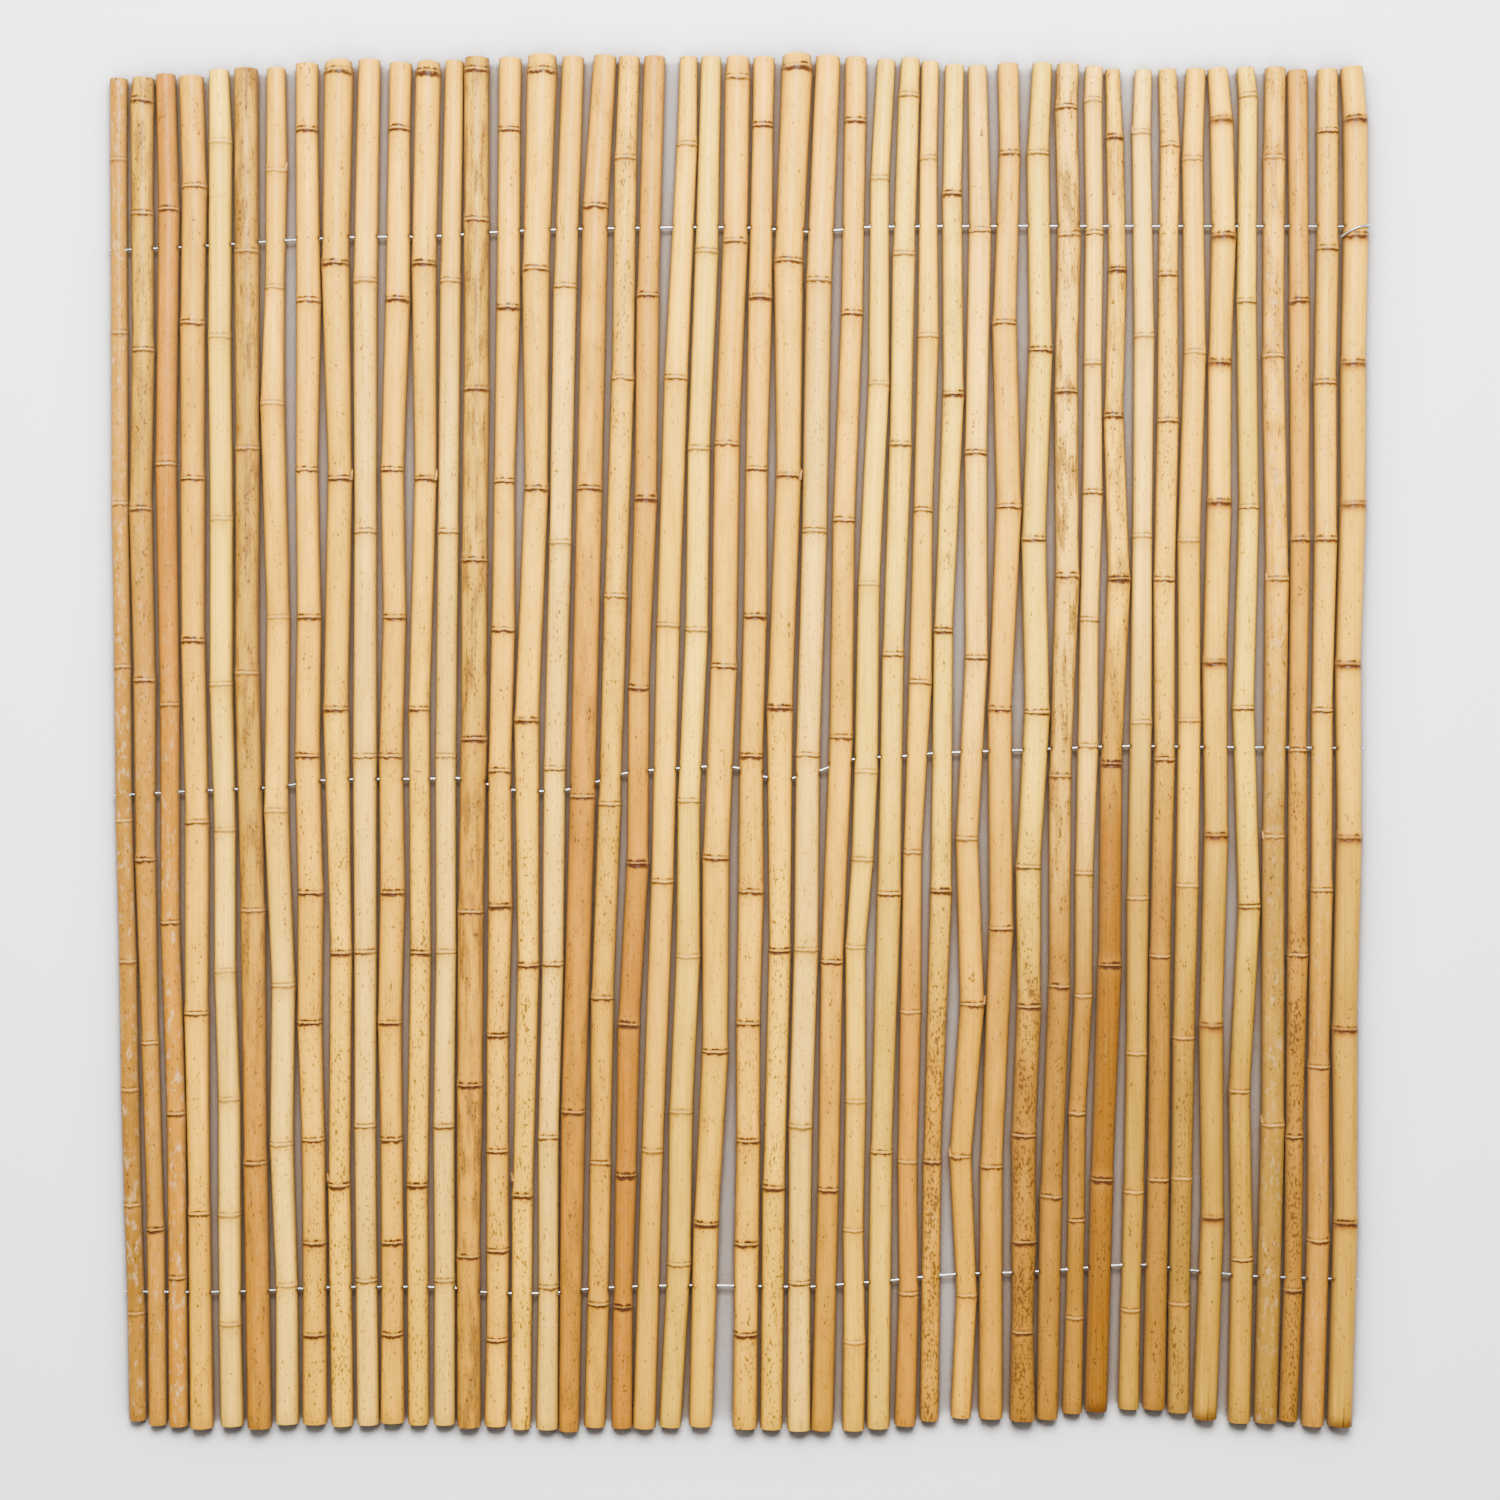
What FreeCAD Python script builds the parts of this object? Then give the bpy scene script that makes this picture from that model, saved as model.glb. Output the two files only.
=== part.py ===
import FreeCAD, Part
import os
from FreeCAD import Placement, Rotation, Vector

# Bamboo screening, unrolled and lying flat: a row of bamboo culms strung on three wires.
# X runs across the row, Y along the culms from foot to head, Z up, and every culm rests on Z = 0.
# Heights are measured along Y from the lowest foot. The origin ends at the bottom centre of the
# whole row. All lengths are in mm.

sizes = {
    "culm_thick": 21.2,  # usual thickness of a culm, measured at a node
    "culm_gap": 2.6,  # usual gap between the feet of neighbours
    "closest_gap": 0.3,  # least gap that is left between neighbours at any height
    "culm_sides": 8,  # flat sides of a culm, each one touching the real round
    "node_swell": 0.9,  # how far a node stands out from the internode above it
    "node_collar": 4.0,  # length of the slope above a node
    "culm_wall": 3.2,  # wall of the hollow end
    "hollow_depth": 40.0,  # how deep an open end is hollowed
    "hollow_sides": 6,
    "diaphragm": 4.0,  # solid wood left between a hollow end and its node
    "screen_height": 1230.0,  # from the lowest foot to the tallest head
    "top_wire_drop": 173.0,  # left end of the top wire, below the tallest head
    "middle_wire_height": 568.0,  # left end of the middle wire, above the lowest foot
    "bottom_wire_height": 124.0,  # left end of the bottom wire, above the lowest foot
    "wire_thick": 2.0,
    "wire_sides": 6,
    "hole_slack": 0.4,  # room all round the wire in its drilled hole
    "wire_stub": 2.0,  # how far a wire stands out past an outer culm
    "tail_slack": 0.3,  # room between the curled tail and the culm under it
    "tail_drift": 10.0,  # how far the curled tail slips towards the feet
}

# One entry for each culm, from left to right.
# stray: how far its foot strays from even spacing; foot: height and extra thickness of its foot;
# head: drop below the tallest head, sideways lean from the foot, and extra thickness;
# nodes: height, lean and extra thickness of each node. Extra thickness is over culm_thick.
culms = [
    {"stray": -1.1, "foot": (9, -5.3), "head": (19.5, -17.1, -4.8), "nodes": [
        (104, -1.1, -4.0), (201, -4.3, -4.0), (304, -6.8, -3.6), (419, -8.8, -4.0), (545, -12.4, -4.8),
        (683, -13.7, -4.6), (829, -16.0, -5.0), (982, -16.4, -4.8), (1137, -17.3, -4.9)]},
    {"stray": -7.6, "foot": (5, -4.9), "head": (19.5, -12.8, -1.6), "nodes": [
        (179, -1.8, -4.0), (346, -6.8, -4.4), (510, -10.8, -1.5), (671, -11.3, 0.0), (824, -14.9, 0.6),
        (966, -12.6, -0.2), (1088, -13.3, 0.0), (1189, -13.5, 0.8)]},
    {"stray": -11.8, "foot": (4, -3.5), "head": (15.9, -11.7, -3.5), "nodes": [
        (136, -0.9, -3.5), (283, -2.0, -3.1), (454, -7.4, -3.1), (649, -7.7, -2.6), (864, -11.0, -1.4),
        (1092, -8.3, -1.3)]},
    {"stray": -14.3, "foot": (3, 0.0), "head": (18.6, -9.5, 0.8), "nodes": [
        (194, -2.3, -0.2), (373, -4.5, 1.9), (544, -4.1, 1.4), (706, -7.7, 1.4), (851, -7.9, 1.9),
        (990, -8.1, 2.2), (1112, -6.3, 2.3)]},
    {"stray": -11.5, "foot": (5, -0.4), "head": (12.3, -12.2, -3.1), "nodes": [
        (95, -1.8, -0.4), (193, -2.3, 0.4), (296, -2.7, -0.4), (411, -6.5, -0.8), (537, -6.5, -0.8),
        (667, -9.9, 0.6), (815, -9.5, 0.5), (978, -11.3, 0.5), (1152, -10.4, 0.5)]},
    {"stray": -10.1, "foot": (3, 0.8), "head": (11.4, -12.2, 0.4), "nodes": [
        (239, -3.6, 1.4), (465, -5.9, 2.1), (677, -11.0, 1.9), (878, -10.8, 1.4), (1054, -11.3, 2.2)]},
    {"stray": -9.2, "foot": (7, 0.0), "head": (10.5, -10.4, -4.0), "nodes": [
        (130, -0.5, -0.4), (256, -5.0, 1.0), (398, -3.4, 1.0), (554, -9.7, 1.9), (727, -8.1, 0.5),
        (918, -13.3, 1.6), (1127, -9.7, -0.8)]},
    {"stray": -8.2, "foot": (7, 0.8), "head": (6.9, -7.2, -0.4), "nodes": [
        (86, 0.0, 1.4), (168, -0.2, 1.0), (260, -1.4, 0.5), (365, -4.5, 2.0), (481, -3.4, 2.9),
        (603, -6.5, 2.5), (727, -5.0, 1.4), (859, -7.2, -0.2), (1010, -5.6, 2.0), (1163, -7.2, -0.2)]},
    {"stray": -9.1, "foot": (5, -1.3), "head": (6.0, -3.4, 3.4), "nodes": [
        (219, -2.9, 0.0), (427, -1.1, -0.4), (645, -5.6, 3.0), (851, -2.0, 1.9), (1043, -5.9, 4.8),
        (1214, -2.7, 5.6)]},
    {"stray": -9.5, "foot": (6, -1.3), "head": (3.3, 0.9, -1.3), "nodes": [
        (134, -1.6, -0.8), (272, -2.9, -0.8), (428, -2.5, 0.0), (603, -2.9, 1.5), (804, -2.5, 0.0),
        (1028, -2.5, 1.6)]},
    {"stray": -10.3, "foot": (8, 0.8), "head": (6.4, 7.2, -0.6), "nodes": [
        (86, -0.2, 0.0), (168, -0.2, 0.0), (260, -0.9, -0.4), (365, -2.5, 1.4), (481, 0.2, 2.4),
        (603, -1.4, 1.4), (727, 1.8, 0.5), (859, -0.2, 0.6), (1011, 4.7, 2.0), (1164, 5.9, -0.8)]},
    {"stray": -12.5, "foot": (6, -2.2), "head": (6.0, 9.0, -0.6), "nodes": [
        (219, -1.1, -0.8), (427, 1.8, -1.3), (645, 0.5, -1.0), (851, 6.3, -0.4), (1043, 5.0, 2.0),
        (1213, 8.8, 2.4)]},
    {"stray": -13.6, "foot": (6, -1.8), "head": (3.7, 8.8, -4.6), "nodes": [
        (134, 0.2, -1.3), (272, -0.5, -1.0), (428, 1.4, -1.8), (603, 1.1, -1.3), (804, 3.4, -1.3),
        (1028, 5.4, -1.6)]},
    {"stray": -14.2, "foot": (4, 0.5), "head": (1.9, 7.2, 1.2), "nodes": [
        (156, -0.5, 1.2), (309, 0.9, 3.3), (464, 1.6, 3.2), (618, 4.5, 3.6), (778, 5.0, 3.6),
        (931, 6.8, 3.0), (1082, 6.8, 3.0), (1216, 6.8, 2.2)]},
    {"stray": -13.3, "foot": (5, -0.6), "head": (1.9, 13.1, -0.6), "nodes": [
        (81, 1.4, -0.4), (161, 1.8, 0.2), (250, 1.6, 0.0), (353, 1.8, -0.4), (469, 4.3, 1.8),
        (590, 3.6, 0.5), (716, 6.8, 1.2), (849, 7.7, -1.4), (1004, 11.3, 1.2), (1163, 12.2, -0.4)]},
    {"stray": -16.4, "foot": (2, -3.1), "head": (0.6, 19.4, 4.6), "nodes": [
        (210, 1.6, -1.0), (416, 6.8, -0.4), (635, 5.4, 2.5), (842, 14.0, 1.4), (1038, 13.7, 4.4),
        (1214, 19.2, 6.6)]},
    {"stray": -16.8, "foot": (2, -1.3), "head": (0.6, 23.4, -1.3), "nodes": [
        (128, 1.1, -2.0), (262, 1.1, -1.6), (417, 5.2, -0.8), (592, 6.8, -0.4), (794, 11.9, 0.0),
        (1023, 16.2, 1.0)]},
    {"stray": -19.6, "foot": (0, -2.6), "head": (0.0, 32.4, -0.4), "nodes": [
        (285, 4.1, 1.8), (567, 12.4, 3.0), (842, 18.7, 3.0), (1094, 23.9, 3.0)]},
    {"stray": -21.4, "foot": (4, -1.8), "head": (0.2, 31.3, -2.2), "nodes": [
        (113, 3.4, -0.4), (239, 5.4, -0.8), (387, 7.2, 0.8), (560, 13.7, 0.5), (746, 18.9, 0.8),
        (941, 25.4, 0.5), (1138, 27.9, 0.0)]},
    {"stray": -21.6, "foot": (3, -2.2), "head": (0.2, 29.5, -1.8), "nodes": [
        (110, 0.9, -2.2), (228, 3.8, -0.8), (363, 6.3, 0.3), (507, 14.2, 0.0), (664, 15.3, -1.1),
        (833, 21.4, 0.8), (1015, 23.4, 0.3)]},
    {"stray": -24.9, "foot": (3, -0.8), "head": (0.2, 39.8, -4.9), "nodes": [
        (250, 7.4, -0.4), (491, 16.4, 0.3), (720, 21.6, 0.8), (941, 28.6, 1.2), (1150, 38.3, -1.7)]},
    {"stray": -25.1, "foot": (4, -1.3), "head": (0.2, 36.9, -3.1), "nodes": [
        (149, 8.1, 1.2), (285, 9.9, 1.2), (424, 16.2, 1.6), (563, 16.9, 0.0), (716, 23.9, 0.5),
        (878, 25.9, 0.0), (1054, 32.9, 0.8)]},
    {"stray": -21.6, "foot": (5, 0.0), "head": (1.1, 33.5, -0.4), "nodes": [
        (185, 5.0, 3.0), (339, 13.1, 3.8), (512, 13.7, 4.2), (683, 20.9, 3.6), (882, 23.6, 3.0),
        (1063, 31.1, 2.6), (1209, 33.1, 2.2)]},
    {"stray": -6.4, "foot": (3, 1.4), "head": (1.1, 17.6, -1.6), "nodes": [
        (86, 1.1, 1.4), (167, 1.8, 2.4), (259, 3.2, 1.4), (364, 3.2, 1.6), (482, 5.8, 3.0),
        (603, 5.9, 1.2), (728, 9.5, 1.0), (860, 10.7, -0.2), (1013, 14.0, 1.4), (1167, 16.4, -1.4)]},
    {"stray": -7.3, "foot": (2, -1.3), "head": (0.5, 22.6, 4.8), "nodes": [
        (217, 2.2, 0.4), (429, 7.7, -0.2), (646, 7.6, 3.5), (854, 15.5, 2.5), (1045, 15.5, 6.0),
        (1217, 23.1, 7.4)]},
    {"stray": -5.7, "foot": (1, 0.0), "head": (0.6, 26.4, 1.0), "nodes": [
        (132, 0.5, -0.1), (272, 1.7, 1.4), (430, 6.5, 2.0), (604, 8.2, 1.5), (804, 14.2, 2.6),
        (1028, 18.0, 3.2)]},
    {"stray": -6.7, "foot": (1, -1.2), "head": (1.1, 30.5, -1.8), "nodes": [
        (215, 5.6, -1.0), (419, 8.9, -0.2), (620, 17.1, 1.0), (814, 19.5, -0.2), (999, 26.8, -0.6),
        (1171, 29.8, -0.6)]},
    {"stray": -2.8, "foot": (1, -1.0), "head": (2.8, 29.8, -4.5), "nodes": [
        (79, 1.0, -0.1), (179, 0.0, -1.6), (294, 2.2, -1.6), (432, 2.0, -1.8), (589, 11.4, 1.2),
        (757, 14.0, -0.7), (936, 22.9, -1.2), (1120, 23.8, -3.1)]},
    {"stray": -4.7, "foot": (3, -0.4), "head": (1.7, 29.2, -3.9), "nodes": [
        (249, 2.9, -0.2), (480, 9.7, 1.6), (694, 13.4, -0.8), (882, 20.1, 0.2), (1052, 23.1, 0.2),
        (1194, 27.5, -1.2)]},
    {"stray": -4.5, "foot": (5, -1.7), "head": (4.2, 22.8, -5.4), "nodes": [
        (122, 3.1, -2.4), (240, 2.1, -2.4), (374, 4.9, -1.2), (517, 6.8, -3.6), (669, 13.5, 0.6),
        (823, 16.2, -2.8), (979, 20.7, -1.2), (1138, 21.0, -4.6)]},
    {"stray": -7.1, "foot": (9, -4.1), "head": (7.6, 22.7, -3.9), "nodes": [
        (240, 2.5, -3.6), (482, 10.4, -0.4), (715, 12.7, -2.8), (927, 21.5, -0.8), (1106, 20.4, -2.2)]},
    {"stray": -4.1, "foot": (12, -2.6), "head": (8.2, 15.2, -4.1), "nodes": [
        (121, 5.3, -1.4), (245, -0.3, -0.2), (381, 10.2, 2.0), (529, 5.6, 0.0), (691, 14.0, 0.4),
        (874, 13.5, 0.0), (1073, 17.3, 0.0)]},
    {"stray": 0.4, "foot": (12, 0.6), "head": (6.6, 15.8, -2.0), "nodes": [
        (236, 0.7, 0.4), (449, 9.4, 2.2), (645, 8.3, 1.4), (826, 16.2, 3.0), (990, 12.4, 2.0),
        (1142, 17.2, -1.2)]},
    {"stray": 4.1, "foot": (10, 2.6), "head": (6.2, 18.3, -3.1), "nodes": [
        (88, 0.2, 0.0), (169, 1.4, 2.2), (264, 1.2, 2.6), (379, 6.0, 2.2), (504, 5.3, 2.6),
        (642, 13.3, 3.0), (797, 10.3, 2.0), (966, 16.5, 1.2), (1142, 14.1, 0.0)]},
    {"stray": 3.3, "foot": (11, -1.9), "head": (7.2, 18.7, -0.6), "nodes": [
        (209, 3.3, 0.4), (397, 10.8, -0.2), (585, 11.5, 0.0), (764, 17.9, 1.8), (929, 16.7, 1.2),
        (1069, 19.5, 1.0), (1183, 16.9, 0.0)]},
    {"stray": 0.0, "foot": (16, -3.1), "head": (8.8, 20.0, -5.1), "nodes": [
        (100, 2.2, -3.6), (187, 3.9, -4.6), (283, 4.7, -4.4), (388, 10.3, -3.6), (498, 11.0, -4.0),
        (612, 14.1, -1.4), (725, 15.6, -3.2), (839, 18.5, -2.0), (955, 18.6, -4.0), (1071, 20.2, -4.0),
        (1190, 18.9, -3.8)]},
    {"stray": -2.3, "foot": (18, -0.6), "head": (10.9, 15.5, -7.6), "nodes": [
        (224, 5.3, 0.8), (416, 12.2, 1.8), (596, 13.8, -0.4), (761, 20.6, 0.6), (907, 16.0, -2.4),
        (1038, 19.6, -3.6), (1157, 17.2, -4.4)]},
    {"stray": 1.4, "foot": (20, -2.1), "head": (11.7, 13.7, -5.3), "nodes": [
        (107, 1.8, -2.2), (213, 4.7, -1.6), (337, 7.2, -1.3), (476, 8.2, -0.4), (633, 11.1, -0.4),
        (800, 12.5, -2.6), (979, 14.1, -1.8), (1161, 11.7, -3.2)]},
    {"stray": -0.8, "foot": (20, -0.6), "head": (11.3, 12.7, -4.7), "nodes": [
        (224, 4.0, -0.8), (424, 5.8, -1.2), (600, 9.7, -1.4), (761, 9.5, -1.0), (903, 12.7, -0.8),
        (1034, 13.0, -2.6), (1150, 14.7, -2.6)]},
    {"stray": -2.0, "foot": (17, -1.3), "head": (11.3, 15.9, -3.2), "nodes": [
        (113, 0.9, -0.8), (225, 3.2, -1.1), (351, 4.9, -0.4), (487, 8.0, 0.2), (635, 9.9, 0.2),
        (796, 9.5, 0.2), (964, 14.9, -0.2), (1137, 13.0, -1.4)]},
    {"stray": -2.4, "foot": (11, 0.6), "head": (10.9, 12.0, -2.9), "nodes": [
        (191, 7.1, 0.9), (362, 5.7, 1.8), (532, 10.3, 1.8), (687, 9.0, 2.2), (830, 13.1, 1.8),
        (955, 13.7, 0.8), (1068, 17.1, 2.0), (1172, 15.3, 0.8)]},
    {"stray": 2.6, "foot": (8, -0.7), "head": (9.9, 6.3, -4.8), "nodes": [
        (153, 2.9, -0.1), (303, 0.5, -0.8), (468, 9.4, -0.2), (646, 4.1, -0.6), (826, 9.2, -2.0),
        (1010, 7.0, -2.2), (1194, 8.7, -3.4)]},
    {"stray": 0.9, "foot": (8, 0.0), "head": (10.2, 9.2, -2.4), "nodes": [
        (273, 6.4, 1.2), (531, 7.2, 0.2), (761, 10.4, 1.2), (961, 7.0, -0.4), (1138, 7.8, -0.4)]},
    {"stray": -1.9, "foot": (9, -4.1), "head": (12.3, 8.5, -3.0), "nodes": [
        (125, 4.5, -3.0), (262, 5.8, -3.8), (425, 8.4, -1.2), (608, 8.7, -3.4), (797, 10.9, -2.4),
        (1010, 9.9, -1.4)]},
    {"stray": -2.5, "foot": (5, -0.7), "head": (11.7, 13.5, -2.2), "nodes": [
        (170, 5.0, 0.4), (325, 5.5, -0.4), (483, 8.4, -0.1), (644, 8.7, -1.0), (797, 11.9, 0.6),
        (937, 11.3, 0.4), (1057, 13.5, 0.0), (1162, 13.6, -0.6)]},
    {"stray": 0.5, "foot": (5, 1.6), "head": (9.9, 10.9, -0.6), "nodes": [
        (186, 5.3, 2.4), (359, 4.5, 3.4), (530, 8.5, 3.2), (685, 7.6, 3.4), (828, 11.9, 3.6),
        (954, 12.1, 3.4), (1068, 14.4, 2.6), (1172, 14.2, 2.2)]},
]

# Each wire bends only in the gaps between culms: gap number, and rise above its left end.
# Gap 0 is left of the first culm, gap 1 is right of it, and so on.
wires = {
    "wire_top": [
        (0, 0), (1, 0.5), (4, 4.0), (6, 7.7), (9, 12.2), (12, 12.2), (14, 16.7), (17, 19.4), (22, 21.2),
        (24, 19.4), (25, 15.8), (26, 18.0), (27, 22.1), (45, 21.5), (46, 21.0)],
    "wire_middle": [
        (0, 0), (1, 1.7), (4, 5.3), (6, 7.1), (7, 9.8), (8, 15.2), (12, 15.2), (13, 17.0), (14, 10.7),
        (15, 4.4), (17, 4.4), (18, 13.0), (19, 21.5), (21, 25.1), (23, 27.8), (24, 15.7), (25, 15.2),
        (26, 24.0), (27, 34.6), (29, 35.5), (30, 38.6), (33, 40.9), (37, 45.4), (39, 44.0), (46, 43.0)],
    "wire_bottom": [
        (0, 0), (4, -0.7), (6, 1.1), (8, 4.3), (13, 4.3), (14, -1.6), (17, -1.6), (18, 2.9), (21, 5.6),
        (23, 5.6), (26, 3.8), (27, 6.5), (29, 10.1), (31, 16.0), (34, 17.3), (37, 24.0), (38, 24.5),
        (39, 21.4), (41, 16.0), (42, 13.3), (46, 11.0)],
}

# Culms whose nodes are smooth: they have no collar.
smooth_culms = (1, 3, 5, 7, 8, 10, 11, 12, 13, 15, 17, 18, 21, 22, 24, 26, 27, 28, 30, 32, 36, 38, 39, 40, 42)

along_culm = Rotation(Vector(1, 0, 0), -90)  # turns a section's normal from Z to Y
along_wire = Rotation(Vector(0, 1, 0), 90)  # turns a section's normal from Z to X


def write_sheet(doc):
    sheet = doc.addObject("Spreadsheet::Sheet", "Sizes")
    for row, (name, value) in enumerate(sizes.items(), start=1):
        sheet.set("A%d" % row, name)
        sheet.set("B%d" % row, str(value))
        sheet.setAlias("B%d" % row, name)
    doc.recompute()
    return sheet


def culm_stations(number, culm, sheet):
    """Sections from foot to head: height, lean, extra thickness, and 1 above a node's swelling."""
    foot_height, foot_extra = culm["foot"]
    drop, head_lean, head_extra = culm["head"]
    head_height = sheet.screen_height - drop
    collar = sheet.node_collar
    stations = [(foot_height, 0.0, foot_extra, 0)]
    for height, lean, extra in culm["nodes"]:
        if foot_height + collar < height < head_height - 2 * collar:
            stations.append((height, lean, extra, 0))
            if number not in smooth_culms:
                stations.append((height + collar, lean, extra, 1))
    stations.append((head_height, head_lean, head_extra, 0))
    return stations


def half_thick(station, sheet):
    return (sheet.culm_thick + station[2]) / 2 - station[3] * sheet.node_swell


def at_height(stations, height, sheet):
    """Lean and half thickness of a culm at a height."""
    height = min(max(height, stations[0][0]), stations[-1][0])
    for low, high in zip(stations, stations[1:]):
        if height <= high[0]:
            part = (height - low[0]) / (high[0] - low[0])
            half = half_thick(low, sheet) * (1 - part) + half_thick(high, sheet) * part
            return low[1] * (1 - part) + high[1] * part, half


def string_culms(profiles, sheet):
    """Foot place of each culm: evenly spaced with its own stray, but clear of its left neighbour."""
    places = []
    middle = (len(culms) - 1) / 2
    pitch = sheet.culm_thick + sheet.culm_gap
    for number, culm in enumerate(culms):
        place = (number - middle) * pitch + culm["stray"]
        if number:
            left, right = profiles[number - 1:number + 1]
            for height in [station[0] for station in left + right]:
                left_lean, left_half = at_height(left, height, sheet)
                lean, half = at_height(right, height, sheet)
                edge = places[-1] + left_lean + left_half
                place = max(place, edge + sheet.closest_gap + half - lean)
        places.append(place)
    return places


def add_section(doc, name, sides, half_width, placement):
    """A regular polygon whose flats lie half_width from its middle."""
    section = doc.addObject("Part::RegularPolygon", name)
    section.setExpression("Polygon", "Sizes." + sides)
    section.setExpression("Circumradius", "(%s) / cos(180 / Sizes.%s)" % (half_width, sides))
    section.Placement = placement
    return section


def add_loft(doc, name, sections):
    loft = doc.addObject("Part::Loft", name)
    loft.Sections = sections
    loft.Solid = True
    loft.Ruled = True
    return loft


def add_cane(doc, name, place, stations, sheet):
    """The outside of one culm, a ruled loft from foot to head that rests on Z = 0."""
    flat_down = along_culm * Rotation(Vector(0, 0, 1), 180 / sheet.culm_sides)
    sections = []
    for number, (height, lean, extra, slim) in enumerate(stations):
        radius = "(Sizes.culm_thick + %s) / 2" % extra
        half_width = radius + " - Sizes.node_swell" if slim else radius
        middle = Vector(place + lean, height, (sheet.culm_thick + extra) / 2)
        sections.append(add_section(
            doc, "%s_section_%d" % (name, number), "culm_sides", half_width, Placement(middle, flat_down)))
        sections[-1].setExpression("Placement.Base.z", radius)
    return add_loft(doc, name + "_cane", sections)


def add_hollow(doc, name, end, inner, place, sheet):
    """The hollow of an open end, or None where a node closes it."""
    depth = min(sheet.hollow_depth, abs(inner[0] - end[0]) - sheet.diaphragm)
    half = half_thick(end, sheet)
    if depth < sheet.diaphragm or half <= sheet.culm_wall:
        return None
    hollow = doc.addObject("Part::Prism", name)
    hollow.setExpression("Polygon", "Sizes.hollow_sides")
    hollow.setExpression(
        "Circumradius",
        "((Sizes.culm_thick + %s) / 2 - Sizes.culm_wall) / cos(180 / Sizes.hollow_sides)" % end[2])
    hollow.Height = 2 * depth
    hollow.Placement = Placement(Vector(place + end[1], end[0] - depth, half), along_culm)
    return hollow


def culm_edge(gap, side, height, places, profiles, sheet):
    """X of a culm's side at a height: side 1 is its right side, and -1 its left side."""
    lean, half = at_height(profiles[gap], height, sheet)
    return places[gap] + lean + side * half


def wire_path(bends, level, places, profiles, sheet):
    """The wire's bends, each in the middle of its gap, or just outside the outer culms."""
    points = []
    for gap, rise in bends:
        height = level + rise
        if gap == 0:
            x = culm_edge(0, -1, height, places, profiles, sheet) - sheet.wire_stub
        elif gap == len(culms):
            x = culm_edge(gap - 1, 1, height, places, profiles, sheet) + sheet.wire_stub
        else:
            left_edge = culm_edge(gap - 1, 1, height, places, profiles, sheet)
            x = (left_edge + culm_edge(gap, -1, height, places, profiles, sheet)) / 2
        points.append(Vector(x, height, sheet.culm_thick / 2))
    return points


def tail_path(start, places, profiles, sheet):
    """The curl of a wire's end, up and back over the last culm to the gap before it."""
    corner = Rotation(Vector(0, 1, 0), -180 / sheet.culm_sides)
    step = Rotation(Vector(0, 1, 0), -360 / sheet.culm_sides)
    spoke = corner.multVec(Vector(1, 0, 0))
    flat_share = spoke.x
    points = []
    bends = int(sheet.culm_sides / 2)
    for bend in range(bends):
        height = start.y - sheet.tail_drift * (bend / (bends - 1)) ** 2
        lean, half = at_height(profiles[-1], height, sheet)
        reach = (half + sheet.node_swell + sheet.wire_thick / 2 + sheet.tail_slack) / flat_share
        points.append(Vector(places[-1] + lean, height, half + sheet.node_swell) + spoke * reach)
        spoke = step.multVec(spoke)
    return points


def add_strand(doc, name, points):
    """The wire along its bends, with each bend mitred."""
    sections = []
    turn = along_wire
    heading = Vector(1, 0, 0)
    for number, point in enumerate(points):
        run_in = point - points[max(number - 1, 0)]
        run_out = points[min(number + 1, len(points) - 1)] - point
        runs = [run.normalize() for run in (run_in, run_out) if run.Length > 0]
        new_heading = runs[0] + runs[-1]
        turn = Rotation(heading, new_heading) * turn
        heading = new_heading
        sections.append(add_section(
            doc, "%s_section_%d" % (name, number), "wire_sides", "Sizes.wire_thick / 2", Placement(point, turn)))
    return add_loft(doc, name, sections)


def add_drill(doc, name, middle, path, sheet):
    """The drill hole of a wire through a culm, along the wire's run there."""
    for start, end in zip(path, path[1:]):
        if middle <= end.x:
            break
    run = end - start
    depth = 2 * sheet.culm_thick
    entry = start + run * ((middle - start.x) / run.x) - run.normalize() * (depth / 2)
    drill = doc.addObject("Part::Prism", name)
    drill.setExpression("Polygon", "Sizes.wire_sides")
    drill.setExpression(
        "Circumradius", "(Sizes.wire_thick / 2 + Sizes.hole_slack) / cos(180 / Sizes.wire_sides)")
    drill.Height = depth
    drill.Placement = Placement(entry, Rotation(Vector(1, 0, 0), run) * along_wire)
    return drill


def build(doc, sheet):
    profiles = [culm_stations(number, culm, sheet) for number, culm in enumerate(culms, start=1)]
    places = string_culms(profiles, sheet)
    levels = {
        "wire_top": sheet.screen_height - sheet.top_wire_drop,
        "wire_middle": sheet.middle_wire_height,
        "wire_bottom": sheet.bottom_wire_height,
    }
    paths = {name: wire_path(bends, levels[name], places, profiles, sheet) for name, bends in wires.items()}
    pieces = []
    for name, path in paths.items():
        tail = tail_path(path[-1], places, profiles, sheet) if name == "wire_top" else []
        strand = add_strand(doc, name + "_strand", path + tail)
        strand.Label = name
        pieces.append(strand)

    for number, (place, stations) in enumerate(zip(places, profiles), start=1):
        name = "pole_%02d" % number
        cane = add_cane(doc, name, place, stations, sheet)
        cutters = [
            add_hollow(doc, name + "_foot_hollow", stations[0], stations[1], place, sheet),
            add_hollow(doc, name + "_head_hollow", stations[-1], stations[-2], place, sheet),
        ]
        for wire_name, path in paths.items():
            lean, half = at_height(stations, levels[wire_name], sheet)
            cutters.append(add_drill(doc, "%s_%s_drill" % (name, wire_name), place + lean, path, sheet))
        tools = doc.addObject("Part::Compound", name + "_tools")
        tools.Links = [cutter for cutter in cutters if cutter]
        pole = doc.addObject("Part::Cut", name + "_drilled")
        pole.Base = cane
        pole.Tool = tools
        pole.Label = name
        pieces.append(pole)
    doc.recompute()
    return pieces


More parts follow.
